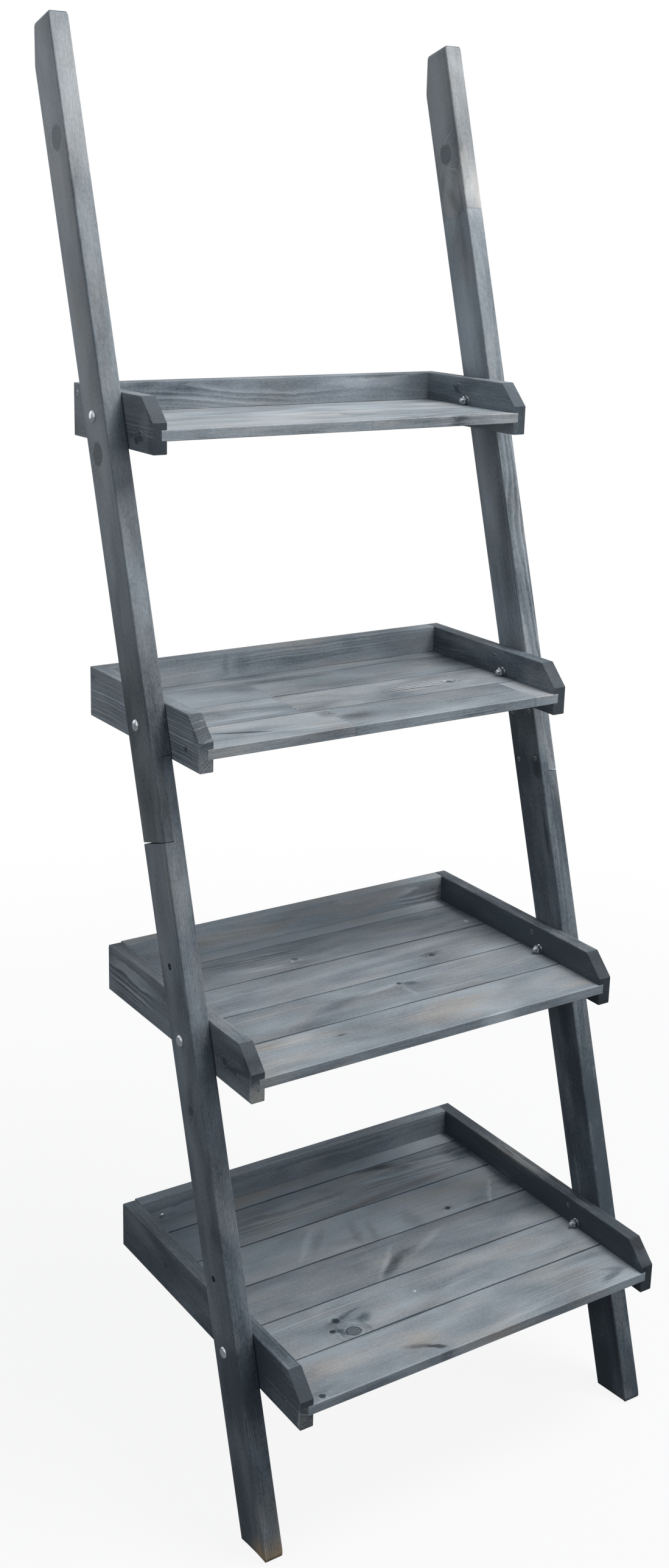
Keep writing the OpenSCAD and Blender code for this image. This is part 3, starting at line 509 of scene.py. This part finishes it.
# Painted shade that all but the two front boards have: their right ends, in the right side board's shade, are a
# little darker
RIGHT_END_PAINTED_SHADE = (262, 0, 46, 70, 0, -0.24, 0.0)
# Tray 3's rear board and tray 4's fourth and rear boards have higher tones, partly painted light against the
# shade of the tray above
for tray, number, pith, tone, finish in (
        (1, "1", (30, -14), 0.63, dict(
            seam=REAR_ONLY, figure=0.35, bare=0.3, joints=((-257, 5, 0.0, 0.0), (31, 0, -0.12, -0.05)),
            flames=((140, -10, 120, 30, 0.9), (-120, -30, 150, 12, 0.35)),
            marks=((-110, -20, 140, 22, 0, 0.06, 0.22), (60, 16, 26, 9, 10, -0.2, 0.0),
                   (100, -34, 60, 2.6, 5, -0.45, 0.0), (190, -36, 44, 2.8, 8, -0.4, 0.0),
                   (150, -22, 50, 2.4, 3, -0.26, 0.0), (140, -46, 100, 7, 0, -0.24, 0.0)))),
        (1, "2", (-24, -20), 0.66, dict(
            figure=0.4, cloud=1.3,
            marks=((-150, -10, 60, 9, 0, 0.3, 0.0), (-40, 0, 60, 7, 0, 0.22, 0.0),
                   (150, -20, 60, 5, 0, 0.2, 0.0)))),
        (1, "rear", (10, -30), 0.62, dict(figure=0.3)),
        (2, "1", (-12, -20), 0.54, dict(
            seam=REAR_ONLY, figure=0.3, bare=0.4, joints=((-53, 7, -0.14, -0.2), (222, 0, 0.22, 0.16)),
            flames=((165, -4, 70, 16, 0.9),),
            marks=((-60, 22, 12, 14, -25, -0.36, 0.0), (-192, 2, 42, 2.5, -17, -0.8, 0.1),
                   (-30, 0, 26, 12, 10, -0.16, 0.0), (-160, 22, 90, 12, 0, 0.06, 0.14),
                   (60, 24, 90, 8, -4, 0.1, 0.0)))),
        (2, "2", (8, -17), 0.50, dict(
            figure=0.3, cloud=1.2, joints=((-79, 6, -0.08, 0.06),), knots=((171, -3, 4, 0.35),),
            flames=((118, -1, 70, 15, 1.5),),
            marks=((120, 0, 66, 12, -4, 0.16, 0.0), (175, -4, 26, 4, 0, -0.3, 0.0),
                   (-150, -24, 60, 4, 0, 0.2, 0.0), (10, 20, 60, 12, 0, -0.1, 0.16)))),
        (2, "3", (-26, -24), 0.58, dict(
            figure=0.25, joints=((-73, 7, -0.14, 0.0),),
            marks=((-12, 29, 66, 8, 0, -0.3, 0.0), (-90, 10, 20, 26, 0, -0.12, 0.0),
                   (-170, 0, 70, 20, 0, 0.1, 0.0)))),
        (2, "rear", (14, -28), 0.62, dict(figure=0.2, marks=((-60, 0, 40, 12, 0, -0.2, 0.0),))),
        (3, "1", (26, -15), 0.515, dict(
            seam=REAR_ONLY, figure=0.2, bare=0.5,
            marks=((-170, 24, 80, 12, -6, 0.08, 0.42), (-200, -14, 70, 14, 0, 0.05, 0.35),
                   (-115, 9, 9, 3.5, 0, -0.34, 0.5), (60, 0, 160, 24, 0, 0.0, 0.18),
                   (88, -41, 26, 3, 0, 0.4, 0.0), (-100, -12, 16, 7, 0, -0.1, 0.0)))),
        (3, "2", (-30, -17), 0.415, dict(
            figure=0.22, knots=((31, 16, 3, 0.6),),
            marks=((-2, 12, 40, 4, 8, 0.2, 0.0), (-68, 2, 44, 11, 12, -0.24, 0.0),
                   (31, -8, 4, 22, 0, 0.16, 0.0), (44, 10, 13, 5, -20, -0.3, 0.0),
                   (-170, -10, 80, 20, 0, 0.1, 0.0)))),
        (3, "3", (6, -26), 0.505, dict(
            figure=0.22, knots=((122, -11, 3.2, 0.75),),
            marks=((122, -9, 18, 7, 0, -0.26, 0.0), (45, 12, 100, 9, 4, 0.24, 0.0),
                   (40, -14, 60, 8, 0, 0.14, 0.0), (205, 6, 40, 26, 0, -0.10, 0.2),
                   (-190, -10, 60, 16, 20, -0.12, 0.0)))),
        (3, "4", (30, -19), 0.56, dict(
            figure=0.3, knots=((-44, -11, 4, 0.05),), flames=((-78, 0, 56, 34, 0.6),),
            marks=((-62, -20, 40, 7, -14, -0.2, 0.0), (-70, 12, 40, 6, 8, -0.2, 0.0),
                   (-110, -14, 60, 9, -12, 0.22, 0.0), (100, 0, 100, 26, 0, -0.04, 0.0),
                   (235, -19, 3, 3, 0, 0.9, 0.0)))),
        (3, "rear", (-8, -30), 1.05, dict(figure=0.2)),
        (4, "1", (24, -16), 0.555, dict(
            seam=REAR_ONLY, figure=0.2, bare=0.35, knots=((-235, -32, 3.4, 0.55),),
            marks=((-66, -26, 13, 4, -34, -0.7, 0.3), (-84, -14, 22, 5, -24, -0.34, 0.15),
                   (-84, 2, 44, 18, -20, 0.04, 0.36), (-190, 6, 80, 18, 0, 0.08, 0.34),
                   (-230, -24, 30, 5, 8, -0.16, 0.0), (216, -24, 24, 6, 14, -0.4, 0.0),
                   (228, -12, 22, 5, -24, -0.22, 0.0), (205, 26, 40, 7, 0, -0.2, 0.0),
                   (-61, -42, 12, 4, 0, -0.3, 0.0), (34, -43, 52, 4, 0, -0.05, 0.7),
                   (0, -46, 300, 6, 0, -0.22, 0.15), (70, -26, 60, 5, 6, 0.14, 0.0)))),
        (4, "2", (-28, -22), 0.535, dict(
            figure=0.2, knots=((-143, 0, 4.4, 0.95), (-158, -16, 3.2, 0.9), (-135, -28, 8.5, 0.12)),
            marks=((-109, -12, 15, 8, 30, -0.4, 0.0), (-136, -14, 34, 20, 0, -0.18, 0.0),
                   (-122, -16, 16, 4, -30, 0.16, 0.0), (-128, 4, 30, 4, 14, -0.3, 0.0),
                   (-148, -22, 6, 12, 14, -0.36, 0.0), (-116, -30, 6, 9, 0, -0.22, 0.0),
                   (-24, 1, 2, 2, 0, 1.2, 0.0), (100, 18, 140, 14, 0, 0.04, 0.2)))),
        (4, "3", (18, -30), 0.525, dict(
            figure=0.2,
            marks=((-20, -10, 44, 4.5, 46, 0.28, 0.0), (-16, -19, 30, 9, 32, -0.36, 0.05),
                   (6, -4, 26, 9, 30, -0.2, 0.0), (58, 6, 44, 6, 25, 0.22, 0.1),
                   (-60, -10, 110, 26, 0, -0.02, 0.22), (-150, 10, 60, 16, 0, 0.1, 0.0)))),
        # Its mark at 246 along is painted shade at its right end, beside the side board
        (4, "4", (-18, -26), 0.81, dict(
            figure=0.2, knots=((131, -23, 3.4, 0.85),),
            marks=((-13, -9, 8, 30, -16, -0.22, 0.0), (10, -16, 6, 28, -16, -0.2, 0.0),
                   (72, -22, 15, 24, -10, -0.26, 0.0), (-85, 0, 42, 5, 48, 0.28, 0.0),
                   (-68, -2, 34, 7, 48, -0.22, 0.0), (131, -22, 16, 6, 0, -0.2, 0.0),
                   (206, 8, 40, 22, 0, -0.10, 0.36), (206, -20, 40, 3.5, 52, 0.36, 0.0),
                   (184, -28, 26, 8, 0, -0.3, 0.0), (246, 0, 16, 34, 0, -0.3, 0.0),
                   (120, 20, 80, 10, 0, 0.0, 0.3)))),
        # Its mark at 230 along is painted shade at its right end, beside the side board
        (4, "5", (10, -20), 0.635, dict(
            figure=0.3, bare=0.4, flames=((150, 4, 110, 30, 0.5), (-60, 0, 110, 26, 0.4)),
            marks=((106, 35, 34, 6, -3, -0.5, 0.0), (130, 24, 30, 7, -20, -0.24, 0.1),
                   (90, -30, 150, 7, 4, -0.24, 0.3), (-20, -6, 70, 7, 0, 0.16, 0.0),
                   (60, 4, 80, 5, 4, 0.16, 0.0), (230, 10, 20, 30, 0, -0.2, 0.0)))),
        (4, "rear", (-16, -34), 0.88, dict(figure=0.15, bare=0.5, marks=((-60, 0, 120, 18, 0, 0.0, 0.3),)))):
    low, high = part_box(f"tray{tray}_floor_{number}")
    order = 6 if number == "rear" else int(number)
    finish = {"seam": BOTH_SIDES, "dirt": DIRT[tray - 1], **finish}
    if order > 2:
        finish["marks"] = (*finish.get("marks", ()), RIGHT_END_PAINTED_SHADE)
    width, thick = ((high - low) * 1000).yz
    stained_pine(f"tray{tray}_floor_{number}", (low + high) / 2, RIGHTWARDS, UPWARDS, width, thick, pith,
                 tone, tray * 3.7 + order * 1.9, ring=3.8, slope=(1.0 - 0.5 * (order % 3), 0.6), **finish)


# ---- Carriage bolts, washers and nuts ----
# Eight M6 by 55 mm carriage bolts, zinc plated, with domed heads outside the rails. Each goes through rail
# and side board, and has a washer and a hexagon nut inside the tray, past which a few turns of thread stand
# out.

RAIL_OUTSIDE = 0.296
RAIL_REAR_Y = -0.2115175
TRAY_INSIDE = 0.252
WASHER_THICK = 0.0014
BOLT_BELOW_RIM = 0.0295
BOLT_BEFORE_REAR = 0.024


def rail_y(z, before_rear):
    """The Y of a point at height Z that is so far in front of the rail's rear face, which is at RAIL_REAR_Y
    on the floor."""
    return z * math.tan(LEAN) - before_rear / math.cos(LEAN) + RAIL_REAR_Y


def zinc_plate(name, colour, dulled, roughness):
    """Zinc plate, chromated clear: a bright grey metal with a fine dull mottle where it was tumbled in the
    barrel."""
    material = bpy.data.materials.new(name)
    tree = blank(material)
    place = add(tree, "ShaderNodeTexCoord").outputs["Object"]
    # Mottle of some 0.8 mm, and tumbling scratches that are 0.05 mm wide, drawn 0.3 mm wide
    mottle = add(tree, "ShaderNodeTexNoise", {"Vector": place, "Scale": 1200.0, "Detail": 2.0}).outputs["Fac"]
    mottle = add(tree, "ShaderNodeMapRange", {"Value": mottle, "From Min": 0.35, "From Max": 0.65}).outputs[0]
    scuffs = add(tree, "ShaderNodeVectorMath", {0: place, 1: (900, 3300, 3300)},
                 operation="MULTIPLY").outputs[0]
    scuffs = add(tree, "ShaderNodeTexNoise", {"Vector": scuffs, "Scale": 1.0, "Detail": 2.0}).outputs["Fac"]
    tint = add(tree, "ShaderNodeMix", {0: mottle, 6: from_hex(dulled), 7: from_hex(colour)},
               data_type="RGBA").outputs[2]
    rough = add(tree, "ShaderNodeMath", {0: mottle, 1: -0.12, 2: roughness + 0.06},
                operation="MULTIPLY_ADD").outputs[0]
    bump = add(tree, "ShaderNodeBump", {"Height": scuffs, "Distance": 0.00003, "Strength": 0.5}).outputs[0]
    shader = add(tree, "ShaderNodeBsdfPrincipled", {
        "Base Color": tint, "Metallic": 1.0, "Roughness": rough, "Normal": bump})
    add(tree, "ShaderNodeOutputMaterial", {"Surface": shader.outputs[0]})
    return material


bright_zinc = zinc_plate("zinc_plated_turned_steel", "d3d8db", "a9b0b5", 0.25)


def one_point(name):
    """A piece that is one point at the origin, in edit mode, for a profile to be drawn out of."""
    bpy.ops.object.select_all(action="DESELECT")
    bpy.ops.mesh.primitive_plane_add(size=0.001, location=(0, 0, 0))
    piece = bpy.context.object
    piece.name = name
    bpy.ops.object.mode_set(mode="EDIT")
    bpy.ops.mesh.merge(type="CENTER")
    return piece


def turned(name, profile, steps):
    """Turns a profile of (radius, height) in millimetres round the Z axis, as on a lathe."""
    piece = one_point(name)
    last = (0, 0)
    for number, (radius, height) in enumerate(profile):
        step = ((radius - last[0]) / 1000, 0, (height - last[1]) / 1000)
        if number:
            bpy.ops.mesh.extrude_region_move(TRANSFORM_OT_translate={"value": step})
        else:
            bpy.ops.transform.translate(value=step)
        last = (radius, height)
    bpy.ops.mesh.select_all(action="SELECT")
    bpy.ops.mesh.spin(steps=steps, angle=2 * math.pi, center=(0, 0, 0), axis=(0, 0, 1))
    bpy.ops.mesh.select_all(action="SELECT")
    bpy.ops.mesh.remove_doubles(threshold=0.000004)
    bpy.ops.mesh.normals_make_consistent(inside=False)
    bpy.ops.object.mode_set(mode="OBJECT")
    return piece


def cut(piece, tool, how="DIFFERENCE"):
    """Cuts a piece with a tool, or keeps what the two share, and takes the tool away."""
    boolean = piece.modifiers.new("cut", "BOOLEAN")
    boolean.operation = how
    boolean.object = tool
    bpy.context.view_layer.objects.active = piece
    bpy.ops.object.modifier_apply(modifier=boolean.name)
    bpy.data.objects.remove(tool)


def finished(piece, material):
    """Shades a modelled piece and gives it its material."""
    pick(piece)
    bpy.ops.object.shade_smooth_by_angle(angle=math.radians(32))
    piece.data.materials.clear()
    piece.data.materials.append(material)
    return piece


def fasten(pattern, node, name, point, out, turn=0.0):
    """Puts a copy of a fastener in its place: its Z axis points out, its zero is at the point, and it came to
    rest turned by so many radians."""
    mesh = pattern.data.copy()
    turned_to = Vector((0, 0, 1)).rotation_difference(Vector(out)).to_matrix().to_4x4()
    mesh.transform(Matrix.Translation(point) @ turned_to @ Matrix.Rotation(turn, 4, "Z"))
    copy = bpy.data.objects.new(name, mesh)
    bpy.context.scene.collection.objects.link(copy)
    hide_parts(node)
    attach(copy, "root")


# The bolt: a dome with a flat edge of 0.5 mm, a shank, and a root that the thread's ridge winds round
dome = [(7.1 * math.sin(a), 0.55 + 2.75 * math.cos(a)) for a in [math.radians(d) for d in range(0, 91, 10)]]
flat_edge = [(7.25, 0.45), (7.25, 0.12), (7.1, 0)]
shank = [(3, 0), (3, -40)]
root = [(2.45, -41), (2.45, -54.4), (1.9, -55), (0, -55)]
bolt = turned("bolt", dome + flat_edge + shank + root, 32)
bpy.ops.object.select_all(action="DESELECT")
bpy.ops.mesh.primitive_cube_add(size=1, location=(0, 0, -0.0019), scale=(0.0059, 0.0059, 0.004))
neck = bpy.context.object
bpy.ops.object.transform_apply(location=True, rotation=True, scale=True)
edges = neck.modifiers.new("eased", "BEVEL")
edges.width = 0.0004
edges.segments = 2
bpy.ops.object.modifier_apply(modifier="eased")

# The thread's ridge: one triangle of M6 thread, 1 mm from turn to turn, wound by a Screw modifier
thread = one_point("thread")
bpy.ops.transform.translate(value=(0.0023, 0, -0.0546))
for step in ((0.00066, 0, 0.00036), (0, 0, 0.00014), (-0.00066, 0, 0.00036), (0, 0, -0.00086)):
    bpy.ops.mesh.extrude_region_move(TRANSFORM_OT_translate={"value": step})
bpy.ops.mesh.select_all(action="SELECT")
bpy.ops.mesh.remove_doubles(threshold=0.00001)
bpy.ops.object.mode_set(mode="OBJECT")
wind = thread.modifiers.new("wind", "SCREW")
wind.axis = "Z"
wind.steps = wind.render_steps = 20
wind.screw_offset = 0.001
wind.iterations = 12
wind.use_merge_vertices = True
wind.merge_threshold = 0.00001
bpy.ops.object.modifier_apply(modifier="wind")
bpy.ops.object.mode_set(mode="EDIT")
bpy.ops.mesh.select_all(action="SELECT")
bpy.ops.mesh.fill_holes(sides=4)
bpy.ops.mesh.normals_make_consistent(inside=False)
bpy.ops.object.mode_set(mode="OBJECT")
bpy.ops.object.select_all(action="DESELECT")
for part in (bolt, neck, thread):
    part.select_set(True)
bpy.context.view_layer.objects.active = bolt
bpy.ops.object.join()
finished(bolt, bright_zinc)

washer = finished(turned("washer", [
    (3.25, 0.15), (3.4, 0), (5.8, 0), (6, 0.15), (6, 1.2), (5.75, 1.4), (3.45, 1.4), (3.25, 1.25),
    (3.25, 0.15)], 32), bright_zinc)

# The nut: a hexagon 10 mm across its flats, with both rims turned to 30 degrees and a bore with eased mouths
HALF_FLATS = 0.005
NUT_HIGH = 0.005
bpy.ops.object.select_all(action="DESELECT")
bpy.ops.mesh.primitive_cylinder_add(vertices=6, radius=HALF_FLATS / math.cos(math.radians(30)), depth=NUT_HIGH,
                                    location=(0, 0, NUT_HIGH / 2))
nut = bpy.context.object
bpy.ops.object.transform_apply(location=True, rotation=True, scale=True)
chamfers = [(0, -0.001), (4.75, -0.001), (5.9, 0.66), (5.9, 4.34), (4.75, 5.001), (0, 5.001)]
cut(nut, turned("chamfers", chamfers, 48), "INTERSECT")
cut(nut, turned("bore", [(0, -1), (3.9, -1), (2.7, 0.5), (2.7, 4.5), (3.9, 6), (0, 6)], 32))
finished(nut, bright_zinc)

for tray in (1, 2, 3, 4):
    low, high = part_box(f"tray{tray}_side_left")
    z = high.z - BOLT_BELOW_RIM
    y = rail_y(z, BOLT_BEFORE_REAR)
    for side, out in (("left", -1), ("right", 1)):
        name = f"{side}_tray{tray}"
        outside = (out * RAIL_OUTSIDE, y, z)
        inside = (out * TRAY_INSIDE, y, z)
        on_washer = (out * (TRAY_INSIDE - WASHER_THICK), y, z)
        fasten(bolt, "carriage_bolts", f"carriage_bolt_{name}", outside, (out, 0, 0))
        fasten(washer, "bolt_washers", f"washer_{name}", inside, (-out, 0, 0), tray)
        fasten(nut, "hex_nuts", f"hex_nut_{name}", on_washer, (-out, 0, 0), tray * 0.4)
for pattern in (bolt, washer, nut):
    bpy.data.objects.remove(pattern)


# ---- Wood screws ----
# Zinc plated countersunk screws with cross recesses, driven flush before the stand was stained, so that a
# grey film dulls them: eight from the trays into the rails, sixteen through the side boards and eight in the
# laps. One in a back board came later: its raised head is bright.

SUNK = 0.0002
RAIL_INSIDE = 0.27
# Where the screws are: under the trays' rims, and from the rail's rear face, the tray's rear or the tray's
# front
RAIL_SCREW_BELOW_RIM, RAIL_SCREW_BEFORE_REAR = 0.0125, 0.011
BACK_SCREW_BELOW_RIM, BACK_SCREW_BEFORE_REAR = 0.0115, 0.009
FLOOR_SCREW_BELOW_RIM, FLOOR_SCREW_BEHIND_FRONT = 0.0425, 0.032
# The back board's own screw: from its left end, and from its lower edge
FACE_SCREW_ALONG, FACE_SCREW_UP = 0.031, 0.009
# Each lap screw's way up the rail, and its distance from the rail's rear face
LAP_SCREWS = ((0.86411, 0.010), (0.92811, 0.010), (0.86411, 0.0455), (0.92811, 0.0455))

dulled_zinc = zinc_plate("zinc_plated_steel_under_stain", "8d949a", "596067", 0.42)


def countersunk(name, head, shank, length, raised=0.0, plate=dulled_zinc):
    """A countersunk wood screw along -Z, its head's rim at zero with a cross recess cut by two tapered
    wedges. Head and shank are radii in millimetres, and the middle of a raised head stands so much over its
    rim."""
    piece = turned(name, [
        (0, raised), (head * 0.55, raised * 0.72), (head - 0.3, 0), (head - 0.12, -0.1), (head - 0.12, -0.24),
        (shank, -(head - shank)), (shank * 0.86, -length * 0.45), (shank * 0.8, -(length - 2 * shank)),
        (0, -length)], 24)
    for turn in (0, 90):
        bpy.ops.object.select_all(action="DESELECT")
        bpy.ops.mesh.primitive_cube_add(size=0.001, location=(0, 0, 0))
        wedge = bpy.context.object
        bpy.ops.object.mode_set(mode="EDIT")
        bpy.ops.mesh.select_all(action="SELECT")
        bpy.ops.transform.resize(value=(head * 1.2, head * 0.27, 2.2), center_override=(0, 0, 0))
        bpy.ops.mesh.select_all(action="DESELECT")
        bpy.ops.object.mode_set(mode="OBJECT")
        for vertex in wedge.data.vertices:
            vertex.select = vertex.co.z < 0
        bpy.ops.object.mode_set(mode="EDIT")
        bpy.ops.transform.resize(value=(0.45, 0.6, 1.4), center_override=(0, 0, 0))
        bpy.ops.mesh.select_all(action="SELECT")
        bpy.ops.transform.rotate(value=math.radians(turn), orient_axis="Z", center_override=(0, 0, 0))
        bpy.ops.object.mode_set(mode="OBJECT")
        cut(piece, wedge)
    return finished(piece, plate)


long_screw = countersunk("long_screw", 4.0, 2.0, 45)
rail_screw = countersunk("rail_screw", 4.0, 2.0, 40)
lap_screw = countersunk("lap_screw", 3.5, 1.75, 23)
short_screw = countersunk("short_screw", 4.0, 2.0, 14, 0.9, bright_zinc)
for tray in (1, 2, 3, 4):
    low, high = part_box(f"tray{tray}_side_left")
    z = high.z - RAIL_SCREW_BELOW_RIM
    y = rail_y(z, RAIL_SCREW_BEFORE_REAR)
    for side, out in (("left", -1), ("right", 1)):
        name = f"{side}_tray{tray}"
        outside = out * (RAIL_INSIDE - SUNK)
        in_side = (out * (TRAY_INSIDE + SUNK), y, z)
        in_back = (outside, high.y - BACK_SCREW_BEFORE_REAR, high.z - BACK_SCREW_BELOW_RIM)
        in_floor = (outside, low.y + FLOOR_SCREW_BEHIND_FRONT, high.z - FLOOR_SCREW_BELOW_RIM)
        fasten(rail_screw, "rail_screws", f"rail_screw_{name}", in_side, (-out, 0, 0), tray)
        fasten(long_screw, "back_screws", f"back_screw_{name}", in_back, (out, 0, 0), 1.7 * tray)
        fasten(long_screw, "floor_screws", f"floor_screw_{name}", in_floor, (out, 0, 0), 2.3 * tray)
for side, out in (("left", -1), ("right", 1)):
    for number, (up_the_rail, before_rear) in enumerate(LAP_SCREWS, start=1):
        z = up_the_rail * math.cos(LEAN) + before_rear * math.sin(LEAN)
        in_lap = (out * (RAIL_INSIDE + SUNK), rail_y(z, before_rear), z)
        fasten(lap_screw, "lap_screws", f"lap_screw_{side}_{number}", in_lap, (-out, 0, 0), number * 0.9)
low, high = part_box("tray4_back")
in_face = (low.x + FACE_SCREW_ALONG, low.y + SUNK, low.z + FACE_SCREW_UP)
fasten(short_screw, "back_face_screw", "back_face_screw_tray4", in_face, (0, -1, 0), 0.5)
for pattern in (long_screw, rail_screw, lap_screw, short_screw):
    bpy.data.objects.remove(pattern)


# ---- Floor, light and camera ----
# A pale floor without an edge, and soft light from large panels: a strong one overhead, one at the right
# front, and weak ones at the left and behind. The room is dim, as in the photograph, where undersides and
# left faces are dark. The camera stands where the photograph was taken from, and shows as much.


def sees_white(tree, in_gloss):
    """Makes 1 for the camera's rays and those through glass, in_gloss for reflections, and 0 for light's
    own."""
    path = add(tree, "ShaderNodeLightPath").outputs
    shown = add(tree, "ShaderNodeMath", {0: path["Is Glossy Ray"], 1: in_gloss},
                operation="MULTIPLY").outputs[0]
    seen = add(tree, "ShaderNodeMath", {0: path["Is Camera Ray"], 1: shown}, operation="MAXIMUM").outputs[0]
    return add(tree, "ShaderNodeMath", {0: seen, 1: path["Is Transmission Ray"]},
               operation="MAXIMUM").outputs[0]


bpy.ops.object.select_all(action="DESELECT")
bpy.ops.mesh.primitive_circle_add(vertices=96, radius=9, fill_type="NGON", location=(0, 0, 0))
ground = bpy.context.object
ground.name = "floor"
matt = bpy.data.materials.new("pale_matt_floor")
tree = blank(matt)
# To the camera it is white, with a little shade near the stand, and it lights the stand as a grey floor would
seen = sees_white(tree, 0.2)
tone = add(tree, "ShaderNodeMix", {0: seen, 6: from_hex("606468"), 7: from_hex("d8d8d8")},
           data_type="RGBA").outputs[2]
spread = add(tree, "ShaderNodeBsdfDiffuse", {"Color": tone}).outputs[0]
lit = add(tree, "ShaderNodeEmission", {"Color": (1, 1, 1, 1), "Strength": 1.0}).outputs[0]
place = add(tree, "ShaderNodeTexCoord").outputs["Object"]
far = add(tree, "ShaderNodeVectorMath", {0: place}, operation="LENGTH").outputs["Value"]
far = add(tree, "ShaderNodeMapRange", {
    "Value": far, "From Min": 0.5, "From Max": 2.4, "To Min": 0.9, "To Max": 1.0},
    interpolation_type="SMOOTHSTEP").outputs[0]
share = add(tree, "ShaderNodeMath", {0: seen, 1: far}, operation="MULTIPLY").outputs[0]
surface = add(tree, "ShaderNodeMixShader", {0: share, 1: spread, 2: lit}).outputs[0]
add(tree, "ShaderNodeOutputMaterial", {"Surface": surface})
ground.data.materials.append(matt)

world = bpy.data.worlds.new("studio")
bpy.context.scene.world = world
tree = blank(world)
# The studio that the metal shows is white overhead and grey towards its floor, which gives the bolts' heads
# their form
place = add(tree, "ShaderNodeTexCoord").outputs["Generated"]
height = add(tree, "ShaderNodeSeparateXYZ", {0: place}).outputs["Z"]
shown = add(tree, "ShaderNodeMapRange", {
    "Value": height, "From Min": -0.1, "From Max": 0.7, "To Min": 0.2, "To Max": 1.0},
    interpolation_type="SMOOTHSTEP").outputs[0]
seen = sees_white(tree, shown)
room = add(tree, "ShaderNodeBackground", {"Color": (0.74, 0.94, 1.14, 1), "Strength": 0.19}).outputs[0]
white = add(tree, "ShaderNodeBackground", {"Color": (1, 1, 1, 1), "Strength": 1.0}).outputs[0]
surface = add(tree, "ShaderNodeMixShader", {0: seen, 1: room, 2: white}).outputs[0]
add(tree, "ShaderNodeOutputWorld", {"Surface": surface})

for name, place, aim, side, power, colour in (
        ("overhead", (0.8, -0.85, 3.1), (0.0, 0.05, 0.8), 1.3, 62, (1, 0.985, 0.96)),
        ("front", (2.3, -2.2, 1.6), (0.0, 0.0, 0.8), 1.8, 25, (1, 1, 1)),
        ("left", (-2.6, -0.3, 1.6), (0.0, 0.0, 1.1), 1.5, 7, (1, 0.98, 0.93)),
        ("back", (-1.5, 2.8, 1.6), (0.0, 0.0, 0.9), 2.0, 14, (1, 1, 1))):
    lamp = bpy.data.lights.new(name, "AREA")
    lamp.shape = "SQUARE"
    lamp.size = side
    lamp.energy = power
    lamp.color = colour
    holder = bpy.data.objects.new(name, lamp)
    bpy.context.scene.collection.objects.link(holder)
    holder.location = place
    holder.rotation_euler = (Vector(aim) - Vector(place)).to_track_quat("-Z", "Y").to_euler()

# The camera's place, its turns in radians, and its focal length and shift in pixels of the photograph's
# height
STANDS_AT = (-1.2057, -1.7373, 1.5296)
YAW, PITCH, ROLL = 0.58718, 0.27922, 0.02526
PIXELS_HIGH = 2576
FOCAL_PIXELS = 2905.32
SHIFT_PIXELS = -99.25
ahead = Vector((math.sin(YAW) * math.cos(PITCH), math.cos(YAW) * math.cos(PITCH), -math.sin(PITCH)))
right = Vector((math.cos(YAW), -math.sin(YAW), 0))
above = right.cross(ahead)
rolled = Matrix.Rotation(-ROLL, 3, ahead)
right, above = rolled @ right, rolled @ above
eye = bpy.data.cameras.new("camera")
eye.sensor_width = 36
eye.lens = FOCAL_PIXELS / PIXELS_HIGH * eye.sensor_width
eye.shift_y = SHIFT_PIXELS / PIXELS_HIGH
eye.clip_start = 0.05
camera = bpy.data.objects.new("camera", eye)
bpy.context.scene.collection.objects.link(camera)
camera.matrix_world = Matrix.Translation(STANDS_AT) @ Matrix((right, above, -ahead)).transposed().to_4x4()
bpy.context.scene.camera = camera
bpy.context.scene.view_settings.view_transform = "Standard"
